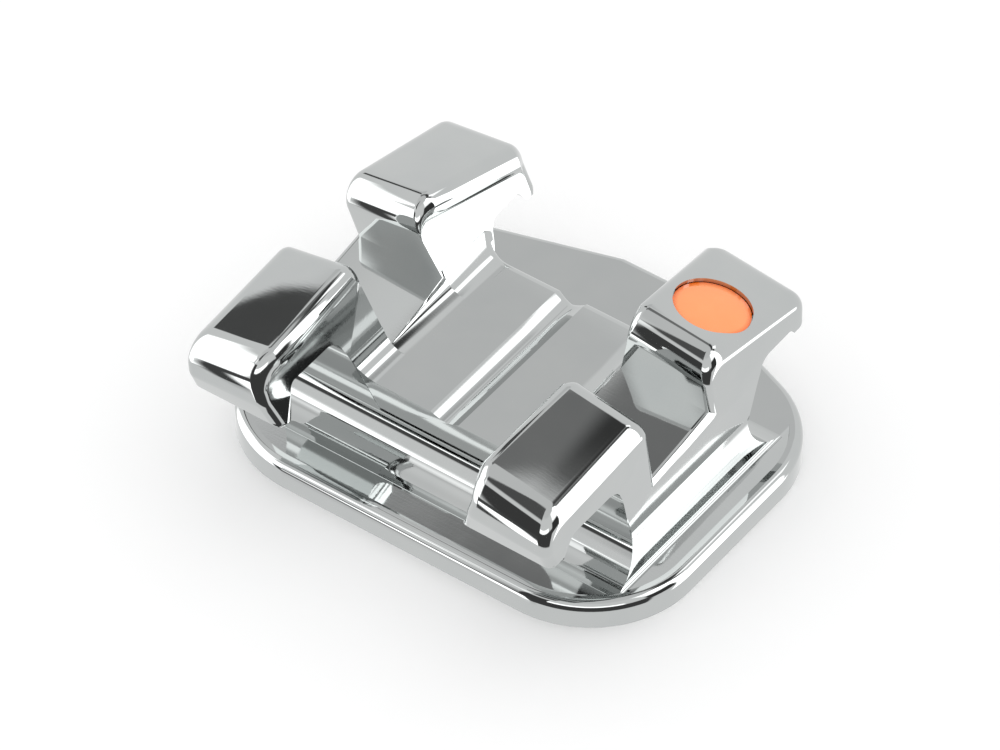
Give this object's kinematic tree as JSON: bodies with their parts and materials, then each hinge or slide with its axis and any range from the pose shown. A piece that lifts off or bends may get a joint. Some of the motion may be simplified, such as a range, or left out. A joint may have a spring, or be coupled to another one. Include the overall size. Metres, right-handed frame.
{
  "type": "orthodontic bracket",
  "caption": "Twin orthodontic bracket: tie wings over a torqued archwire slot on a contoured pad, with an orange enamel dot on one wing.",
  "frame": {"origin": "flat underside of the bonding pad, under the middle of the stem", "axes": "+X along the archwire slot, +Y towards the gum, +Z away from the tooth"},
  "size_m": [0.0032, 0.003, 0.0013],
  "materials": {
    "polished_steel": "mirror polished stainless steel",
    "orange_enamel": "gloss enamel"
  },
  "bodies": {
    "root": {"bracket": "polished_steel", "id_dot": "orange_enamel"}
  },
  "joints": []
}
